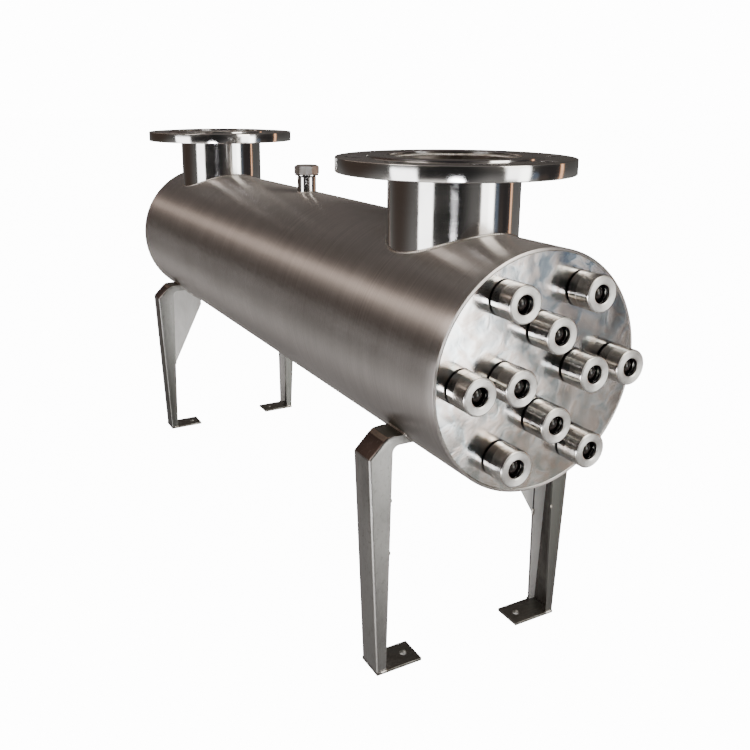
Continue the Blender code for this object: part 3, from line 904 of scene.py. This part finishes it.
def build_gland(number, steels, rubber, quartz):
    """A welded socket with its nut, seal ring and quartz sleeve."""
    place = gland_place(number)
    show(f"gland_socket_{number}", turned(socket_rows(), FINE), steels["socket"], place)
    # The weld ring takes the socket finish, so it is painted near black too, as shade in the gap under the
    # nut.
    ring = circle(THREAD_RADIUS + 0.0002, 0.0002, 240)
    weld_ring(f"socket_weld_{number}", ring, "socket", steels["socket"], place)
    show(f"nut_{number}", turned(nut_rows(), FINE), steels["nut"], place,
         f"gland_nut_{number}", [f"gland_nut_{number}"])
    show(f"seal_{number}", turned(seal_rows(), FINE), rubber, place,
         f"gland_seal_{number}", [f"gland_seal_{number}"])
    show(f"sleeve_{number}", turned(sleeve_rows(), LAMP_SIDES), quartz, place,
         stands_for=[f"quartz_sleeve_{number}"])


def filament(start, way):
    """Points along a lamp's filament coil, wound away from one end of the tube."""
    steps = 16
    turns = [2 * math.pi * step / steps for step in range(FILAMENT_TURNS * steps + 1)]
    return [Vector((FILAMENT_RADIUS * math.cos(turn), FILAMENT_RADIUS * math.sin(turn),
                    start + way * FILAMENT_PITCH * turn / (2 * math.pi))) for turn in turns]


def build_lamp(number, nose, ceramic, glass, steel):
    """A lamp: glazed nose, steel band, quartz tube, return wire beside it, and a ceramic end."""
    place = gland_place(number)
    body = f"uv_lamp_{number}"

    def part(name, bm, material, *stands_for):
        show(f"lamp_{name}_{number}", bm, material, place, body, stands_for)

    nose_start = LAMP_FRONT - LAMP_CAP_RADIUS
    cap_end = LAMP_FRONT - LAMP_CAP_LENGTH
    band = 0.004
    rows = [(0, cap_end + band), (LAMP_CAP_RADIUS, cap_end + band)]
    rows += arc((0, nose_start), LAMP_CAP_RADIUS, 0, 90, 14)
    part("nose", turned(rows, LAMP_SIDES), nose, body)
    edge = 0.0005
    band_front = cap_end + band - GAP / 3
    rows = [(0, cap_end), (LAMP_CAP_RADIUS - edge, cap_end), (LAMP_CAP_RADIUS, cap_end + edge),
            (LAMP_CAP_RADIUS, cap_end + band - edge), (LAMP_CAP_RADIUS - edge, band_front), (0, band_front)]
    part("band", turned(rows, LAMP_SIDES), steel)

    tube_end = LAMP_END + LAMP_CAP_LENGTH
    tube_front = cap_end - GAP / 3
    tube_inside = LAMP_RADIUS - 0.001
    rows = [(tube_inside, tube_end), (LAMP_RADIUS, tube_end), (LAMP_RADIUS, tube_front),
            (tube_inside, tube_front)]
    part("tube", turned(rows, 48), glass)
    for end, start, way in (("front", cap_end - 0.004, -1), ("rear", tube_end + 0.004, 1)):
        part(f"coil_{end}", bead(filament(start, way), FILAMENT_WIRE, UP, ripple=1.0), steel)
    beside = LAMP_RADIUS + 0.0006
    wire = spread((0, beside, cap_end - 0.0002), (0, beside, tube_end + 0.0002), 0.02)
    part("wire", bead(wire, 0.0005, Vector((1, 0, 0)), ripple=1.0), ceramic)

    edge = 0.001
    end_front = tube_end - GAP / 3
    rows = [(0, LAMP_END), (LAMP_CAP_RADIUS - edge, LAMP_END), (LAMP_CAP_RADIUS, LAMP_END + edge),
            (LAMP_CAP_RADIUS, end_front - edge), (LAMP_CAP_RADIUS - edge, end_front), (0, end_front)]
    part("end", turned(rows, LAMP_SIDES), ceramic)


# Legs

def mirrored(outline, side):
    return [(side * x, z) for x, z in outline]


def leg_seat(reach, steps):
    """Points where a leg meets the shell, on an arc of a given reach from the vessel's axis."""
    high = math.degrees(math.asin(LEG_TOP[1] / reach))
    low = math.degrees(math.asin(LEG_INNER_TOP[1] / reach))
    return arc((0, 0), reach, high, low, steps)


def leg_outline(bottom):
    """A leg's side view: foot, web, folded top, the part that meets the shell, and the flange's edge."""
    seat = leg_seat(SHELL_RADIUS + GAP, 8)
    corner = arc((LEG_INNER_X[1] - LEG_FILLET, LEG_INNER_TOP[1] - LEG_FILLET), LEG_FILLET, 90, 0, 8)
    web = [(LEG_FOOT_X, bottom), LEG_SHOULDER, LEG_CHAMFER, LEG_TOP]
    return [*web, *seat, *corner, (LEG_INNER_X[0], bottom)]


def leg_hollow(bottom):
    """What the bent sheet leaves open."""
    slant = LEG_SHEET * math.tan(math.radians(22.5))
    under = LEG_TOP[1] - LEG_SHEET
    open_side = 0.08
    below = bottom - 0.01
    return [(LEG_FOOT_X - LEG_SHEET, below), (LEG_SHOULDER[0] - LEG_SHEET, LEG_SHOULDER[1] - slant),
            (LEG_CHAMFER[0] - slant, LEG_CHAMFER[1] - LEG_SHEET), (LEG_TOP[0] - slant / 2, under),
            (open_side, under), (open_side, below)]


def fold(bm, half):
    """Rounds the bends: wide along the web's two sides, tight across the folded top."""
    bends = {(round(x, 4), round(z, 4)) for x, z in (LEG_SHOULDER, LEG_CHAMFER, LEG_TOP)}

    def on_web(vert):
        spot = (round(abs(vert.co.x), 4), round(vert.co.z, 4))
        return spot in bends or abs(abs(vert.co.x) - LEG_FOOT_X) < 1e-6

    def on_inner_edge(vert):
        return abs(vert.co.x) < LEG_INNER_X[0] + 0.0005 and vert.co.z < LEG_INNER_TOP[1] + 0.001

    across, sides = [], []
    for edge in bm.edges:
        first, second = edge.verts
        width = abs(first.co.y - second.co.y)
        if width > half and first.co.z > LEG_SHOULDER[1] - 0.001 and on_web(first) and on_web(second):
            across.append(edge)
    bmesh.ops.bevel(bm, geom=across, offset=0.0012, segments=2, profile=0.5, affect="EDGES",
                    clamp_overlap=True)
    for edge in bm.edges:
        first, second = edge.verts
        in_side = abs(first.co.y - second.co.y) < 1e-6 and abs(first.co.z - second.co.z) > 1e-5
        outward = min(abs(first.co.x), abs(second.co.x)) > LEG_TOP[0] - 0.004
        rim = any(abs(face.normal.y) < 0.5 for face in edge.link_faces)
        if in_side and outward and rim and not (on_inner_edge(first) and on_inner_edge(second)):
            sides.append(edge)
    bmesh.ops.bevel(bm, geom=sides, offset=0.0028, segments=4, profile=0.5, affect="EDGES",
                    clamp_overlap=True)
    return bm


def build_leg(end, side_name, steels):
    """A bent sheet leg with its welds to the shell and the foot, and tacks inside its edges."""
    name = f"{end}_{side_name}"
    side = {"left": -1, "right": 1}[side_name]
    low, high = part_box(f"leg_{name}")
    half = (high.y - low.y) / 2
    place = Matrix.Translation((0, (low.y + high.y) / 2, AXIS_Z))
    bottom = low.z - AXIS_Z

    def weld(piece, path, kind, up):
        show(f"{piece}_{name}", bead(path, BEADS[kind], up), steels["weld"], place)

    leg = show(f"sheet_leg_{name}", fold(prism(mirrored(leg_outline(bottom), side), -half, half), half),
               steels[f"leg_{end}"], place, stands_for=[f"leg_{name}"])
    inner = half - LEG_SHEET
    combine(leg, prism(mirrored(leg_hollow(bottom), side), -inner, inner), place)
    leg.data.materials.append(steels["inside"])
    deepest = LEG_SHOULDER[0] - LEG_SHEET + 0.0001
    for face in leg.data.polygons:
        x, y, z = abs(face.center.x), abs(face.center.y), face.center.z
        if x < deepest and y < inner + 0.0001 and z < LEG_TOP[1] - 0.002:
            face.material_index = int(y > inner - 0.0001 or side * face.normal.x < -0.5)

    seat_x = side * (on_shell(LEG_TOP[1]) + 0.0006)
    weld("leg_weld_top", spread((seat_x, -half, LEG_TOP[1]), (seat_x, half, LEG_TOP[1])), "leg_top", UP)
    for face, y in (("near", -half), ("far", half)):
        curve = [Vector((side * x, y, z)) for x, z in leg_seat(SHELL_RADIUS + SEAM_LIFT, 22)]
        weld(f"leg_weld_{face}", curve, "leg_side", ALONG)
        for tack, share in (("upper", 0.23), ("lower", 0.46)):
            z = LEG_INNER_TOP[1] + (bottom - LEG_INNER_TOP[1]) * share
            x = side * (LEG_INNER_X[1] + (LEG_INNER_X[0] - LEG_INNER_X[1]) * share)
            dab = spread((x, y * 0.98, z + 0.0028), (x, y * 0.98, z - 0.0028))
            weld(f"tack_{tack}_{face}", dab, "leg_tack", ALONG)
        ends = (LEG_INNER_X[0] - 0.002, LEG_FOOT_X - 0.002)
        foot_line = spread(*((side * x, y, bottom) for x in ends))
        weld(f"foot_weld_{face}", foot_line, "foot", UP)

    if name in LEGS_WITH_GUSSET:
        build_gusset(name, end, side, half * (1 if end == "front" else -1), place, steels)
    build_foot(name, side, steels)


def build_gusset(name, end, side, outer, place, steels):
    """A triangular plate from the leg's flange in under the vessel, welded along the shell."""
    reach = SHELL_RADIUS + GAP
    tip = -math.degrees(math.acos(GUSSET_REACH[end][0] / reach))
    start = math.degrees(math.asin((LEG_INNER_TOP[1] + 0.002) / reach))
    skin = outer * (1 - (LEG_SHEET - GAP) / abs(outer))
    face = outer * (1 - GAP / abs(outer))
    seat = arc((0, 0), reach, start, tip, 14)
    outline = [*seat, GUSSET_REACH[end], GUSSET_LOW[end], (LEG_INNER_X[1] + 0.003, LEG_INNER_TOP[1] + 0.002)]
    plate = prism(mirrored(outline, side), min(face, skin), max(face, skin))
    show(f"gusset_{name}", plate, steels["inside"], place)

    joint = side * (LEG_INNER_X[0] + LEG_INNER_X[1]) / 2
    low_end = GUSSET_LOW[end][1]
    seam = spread((joint, skin, LEG_INNER_TOP[1] - 0.012), (joint, skin, low_end + 0.006))
    dab = spread((joint, skin, low_end + 0.010), (joint, skin, low_end - 0.001))
    top = [Vector((side * x, outer, z)) for x, z in arc((0, 0), SHELL_RADIUS + SEAM_LIFT, start, tip, 70)]
    # The seam takes the socket finish, which is near black this far below the socket's root: a painted dark
    # line of shade along the gusset's joint with the flange.
    for piece, path, radius, steel in (("seam", seam, BEADS["gusset_side"], steels["socket"]),
                                       ("dab", dab, BEADS["gusset_dab"], steels["weld"]),
                                       ("weld", top, BEADS["gusset_top"], steels["weld"])):
        show(f"gusset_{piece}_{name}", bead(path, radius, ALONG), steel, place)


def build_foot(name, side, steels):
    low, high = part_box(f"foot_{name}")
    place = Matrix.Translation((0, (low.y + high.y) / 2, 0))
    half = (high.y - low.y) / 2
    bm = prism([(low.x, 0), (high.x, 0), (high.x, FOOT_THICKNESS), (low.x, FOOT_THICKNESS)], -half, half)
    bmesh.ops.bevel(bm, geom=bm.edges[:], offset=0.0004, segments=2, profile=0.5, affect="EDGES")
    foot = show(f"foot_plate_{name}", bm, steels["foot"], place, stands_for=[f"foot_{name}"])
    drill = rod(FOOT_HOLE_RADIUS, -FOOT_THICKNESS, 2 * FOOT_THICKNESS, 48)
    combine(foot, drill, place @ Matrix.Translation((side * FOOT_HOLE_X, 0, 0)))


def build_all():
    steels = {
        "socket": socket_steel(),
        "nut": nut_steel(),
        "weld": weld_steel(),
        "leg_front": leg_steel("leg_steel_front", 0.0),
        "leg_rear": leg_steel("leg_steel_rear", 0.95),
        "inside": leg_inside(),
        "foot": foot_steel(),
    }
    polished, faced, plug_metal = polished_steel(), faced_steel(), plug_steel()
    rubber, quartz, inner = seal_rubber(), quartz_glass(), inner_steel()
    nose, ceramic, glass = lamp_nose(), lamp_ceramic(), lamp_glass()
    build_shell(brushed_steel())
    build_end_plates(plate_steel(), steels["weld"])
    for nozzle in ("inlet", "outlet"):
        build_nozzle(nozzle, polished, faced, inner, steels["weld"])
    build_port(polished, plug_metal, rubber, steels["weld"])
    for number in GLANDS:
        build_gland(number, steels, rubber, quartz)
        build_lamp(number, nose, ceramic, glass, plug_metal)
    for end in ("front", "rear"):
        for side in ("left", "right"):
            build_leg(end, side, steels)
    for node in ("flow_baffle", "sleeve_support"):
        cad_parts[node].data.materials.clear()
        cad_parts[node].data.materials.append(inner)


# Studio

BACKDROP_WHITE = 14.0      # radiance of the floor and of what lies behind it
FLOOR_RADIUS = 30.0
HOLE_SHADE = (0.010, 0.014)      # distances from a foot's hole between which the floor lights up

FOCAL_LENGTH = 39.55      # in millimetres
LENS_SHIFT = (0.0283, -0.0904)
VIEW_FROM = (-28.26, 14.21)      # azimuth and elevation in degrees
VIEW_ROLL = 0.24
VIEW_SPOT = (-0.5736, -0.6460, 0.6823)      # x, y from the front plate, z

# The room that metal reflects: colour by height, from straight down to straight up
ROOM = (
    (0.0, (0.30, 0.29, 0.28)),
    (0.24, (0.40, 0.39, 0.385)),
    (0.36, (0.33, 0.32, 0.31)),
    (0.47, (0.13, 0.125, 0.12)),
    (0.52, (0.10, 0.095, 0.09)),
    (0.62, (0.17, 0.155, 0.145)),
    (1.0, (0.24, 0.22, 0.21)),
)

# Round areas of the room: azimuth, elevation, inner and outer radius in degrees, colour
PATCHES = (
    (-40, 2, 14, 42, (0.030, 0.029, 0.029)),
    (60, -4, 6, 24, (0.045, 0.040, 0.040)),
    (-140, 12, 14, 42, (0.075, 0.055, 0.045)),
    (43, -18, 4, 10, (0.42, 0.40, 0.38)),
    (42, -9, 3, 7, (0.17, 0.21, 0.28)),
    (41, -25, 2, 7, (0.44, 0.39, 0.33)),
    (54, -14, 3, 9, (0.10, 0.08, 0.07)),
    (122, 34, 10, 32, (0.07, 0.065, 0.06)),
    (-33, -20, 6, 8, (40.0, 40.0, 42.0)),
)

# Bright panels in the room: azimuths, elevations and soft edge in degrees, colour
PANELS = (
    ((-105, -35), (-42, -18), 4.0, (2.2, 2.1, 2.0)),
    ((-95, -69), (-34, 3), 1.2, (7.5, 7.5, 7.5)),
    ((13, 28), (-15, 6), 1.5, (7.5, 7.5, 7.3)),
    ((26, 37), (-21, 6), 1.5, (10.0, 10.0, 9.8)),
    ((77, 82), (-22, 10), 1.0, (2.4, 1.3, 0.75)),
)


def heading(azimuth, elevation):
    """A direction. Azimuth 0 is straight in front of the end plate, positive to the plate's right."""
    a, e = math.radians(azimuth), math.radians(elevation)
    return Vector((math.sin(a) * math.cos(e), -math.cos(a) * math.cos(e), math.sin(e)))


def area_light(name, size, watts, colour):
    light = bpy.data.lights.new(name, "AREA")
    light.shape = "RECTANGLE"
    light.size, light.size_y = size
    light.energy = watts
    light.color = colour
    lamp = bpy.data.objects.new(name, light)
    bpy.context.scene.collection.objects.link(lamp)
    lamp.visible_camera = False
    return lamp


def build_softbox(name, azimuth, elevation, size, watts, colour, distance=2.6):
    """A light aimed at the front half of the vessel."""
    lamp = area_light(name, size, watts, colour)
    aim = Vector((0, FRONT_Y + 0.25, AXIS_Z))
    toward = heading(azimuth, elevation)
    lamp.location = aim + toward * distance
    lamp.rotation_mode = "QUATERNION"
    lamp.rotation_quaternion = (-toward).to_track_quat("-Z", "Y")


def build_strip(name, angle, distance, span, width, watts, colour):
    """A long light beside the vessel and parallel to it, angle degrees above the level of its axis."""
    lamp = area_light(name, (span[1] - span[0], width), watts, colour)
    lift = math.radians(angle)
    away = Vector((-math.cos(lift), 0, math.sin(lift)))
    turn = Matrix((ALONG, away.cross(ALONG), away)).transposed().to_4x4()
    centre = Vector((0, FRONT_Y + sum(span) / 2, AXIS_Z))
    lamp.matrix_world = Matrix.Translation(away * distance + centre) @ turn


def window(nodes, source, low, high, soft):
    """1 between two angles in degrees, falling softly to 0 beyond them."""
    rise, fall = (
        nodes.span(source, start, end, math.radians(angle - soft), math.radians(angle + soft),
                   interpolation_type="SMOOTHSTEP")
        for angle, start, end in ((low, 0.0, 1.0), (high, 1.0, 0.0)))
    return nodes.math("MULTIPLY", rise, fall)


def room_colour(nodes):
    """What a direction meets in the room."""
    direction = nodes.add("ShaderNodeTexCoord").outputs["Generated"]
    x, y, z = nodes.split(direction)
    ramp = nodes.add("ShaderNodeValToRGB")
    while len(ramp.color_ramp.elements) < len(ROOM):
        ramp.color_ramp.elements.new(0.5)
    for element, (position, colour) in zip(ramp.color_ramp.elements, ROOM):
        element.position = position
        element.color = (*colour, 1.0)
    nodes.link(nodes.span(z, 0.0, 1.0, -1.0, 1.0), ramp.inputs["Fac"])
    room = ramp.outputs["Color"]
    for azimuth, elevation, inner, outer, colour in PATCHES:
        near = nodes.vector("DOT_PRODUCT", direction, heading(azimuth, elevation))
        limits = (math.cos(math.radians(outer)), math.cos(math.radians(inner)))
        share = nodes.span(near, 0.0, 1.0, *limits, interpolation_type="SMOOTHSTEP")
        room = nodes.mix(share, room, colour)
    elevation = nodes.math("ARCSINE", z)
    azimuth = nodes.math("ARCTAN2", x, nodes.math("MULTIPLY", y, -1.0))
    for azimuths, elevations, soft, colour in PANELS:
        beside = window(nodes, azimuth, *azimuths, soft)
        level = window(nodes, elevation, *elevations, soft)
        room = nodes.mix(nodes.math("MULTIPLY", beside, level), room, colour)
    return room


def build_world():
    """White to the eye, softer on matt surfaces, and to metal a dim room with a few lighter areas."""
    world = bpy.data.worlds.new("studio")
    bpy.context.scene.world = world
    world.use_nodes = True
    world.node_tree.nodes.clear()
    nodes = Nodes(world.node_tree)
    room = nodes.add("ShaderNodeBackground")
    nodes.link(room_colour(nodes), room.inputs["Color"])
    path = nodes.add("ShaderNodeLightPath")
    seen = room.outputs["Background"]
    for kind, strength in (("Is Diffuse Ray", 0.9), ("Is Camera Ray", BACKDROP_WHITE)):
        white = nodes.add("ShaderNodeBackground")
        white.inputs["Color"].default_value = (1.0, 1.0, 1.0, 1.0)
        white.inputs["Strength"].default_value = strength
        choose = nodes.add("ShaderNodeMixShader")
        nodes.link(path.outputs[kind], choose.inputs["Fac"])
        nodes.link(seen, choose.inputs[1])
        nodes.link(white.outputs["Background"], choose.inputs[2])
        seen = choose.outputs["Shader"]
    output = nodes.add("ShaderNodeOutputWorld")
    nodes.link(seen, output.inputs["Surface"])


def build_floor():
    """A white floor that glows as the backdrop does, but not in the shade under the feet's holes."""
    bm = bmesh.new()
    bmesh.ops.create_circle(bm, cap_ends=True, segments=96, radius=FLOOR_RADIUS)
    mesh = bpy.data.meshes.new("floor")
    bm.to_mesh(mesh)
    bm.free()
    floor = bpy.data.objects.new("floor", mesh)
    bpy.context.scene.collection.objects.link(floor)
    finish = Finish("pale_floor", (0.86, 0.86, 0.85), 0.0, 0.9, Emission_Color=(1.0, 1.0, 1.0, 1.0))
    finish.tint(finish.mix(finish.noise(3), 1.0, 0.98))
    glow = BACKDROP_WHITE - 1.0
    for end in ("front", "rear"):
        for side, way in (("left", -1), ("right", 1)):
            hole = (way * FOOT_HOLE_X, middle(f"foot_{end}_{side}").y, 0)
            away = finish.vector("DISTANCE", finish.space, hole)
            glow = finish.math("MULTIPLY", finish.span(away, 0.0, 1.0, *HOLE_SHADE), glow)
    finish.drive("Emission Strength", glow)
    finish.material.cycles.emission_sampling = "NONE"
    mesh.materials.append(finish.material)
    floor.visible_glossy = False
    floor.visible_diffuse = False


def build_camera():
    """The photograph's view: low, from the front left of the end plate."""
    lens = bpy.data.cameras.new("camera")
    lens.lens = FOCAL_LENGTH
    lens.shift_x, lens.shift_y = LENS_SHIFT
    lens.clip_end = 100
    camera = bpy.data.objects.new("camera", lens)
    bpy.context.scene.collection.objects.link(camera)
    bpy.context.scene.camera = camera
    forward = -heading(*VIEW_FROM)
    right = forward.cross(UP).normalized()
    up = right.cross(forward)
    roll = math.radians(VIEW_ROLL)
    tilted_right = right * math.cos(roll) + up * math.sin(roll)
    tilted_up = up * math.cos(roll) - right * math.sin(roll)
    turn = Matrix((tilted_right, tilted_up, -forward)).transposed().to_4x4()
    x, y, z = VIEW_SPOT
    camera.matrix_world = Matrix.Translation((x, FRONT_Y + y, z)) @ turn


build_all()
build_camera()
build_world()
build_floor()
build_strip("strip_left", angle=34.0, distance=2.0, span=(-1.2, 5.0), width=0.36, watts=7.5,
            colour=(1.0, 0.82, 0.71))
build_softbox("softbox_left", -83, 31, size=(1.10, 0.60), watts=14, colour=(1.0, 0.92, 0.85))
build_softbox("softbox_right", 22, 24, size=(1.10, 1.10), watts=34, colour=(1.0, 0.95, 0.86))
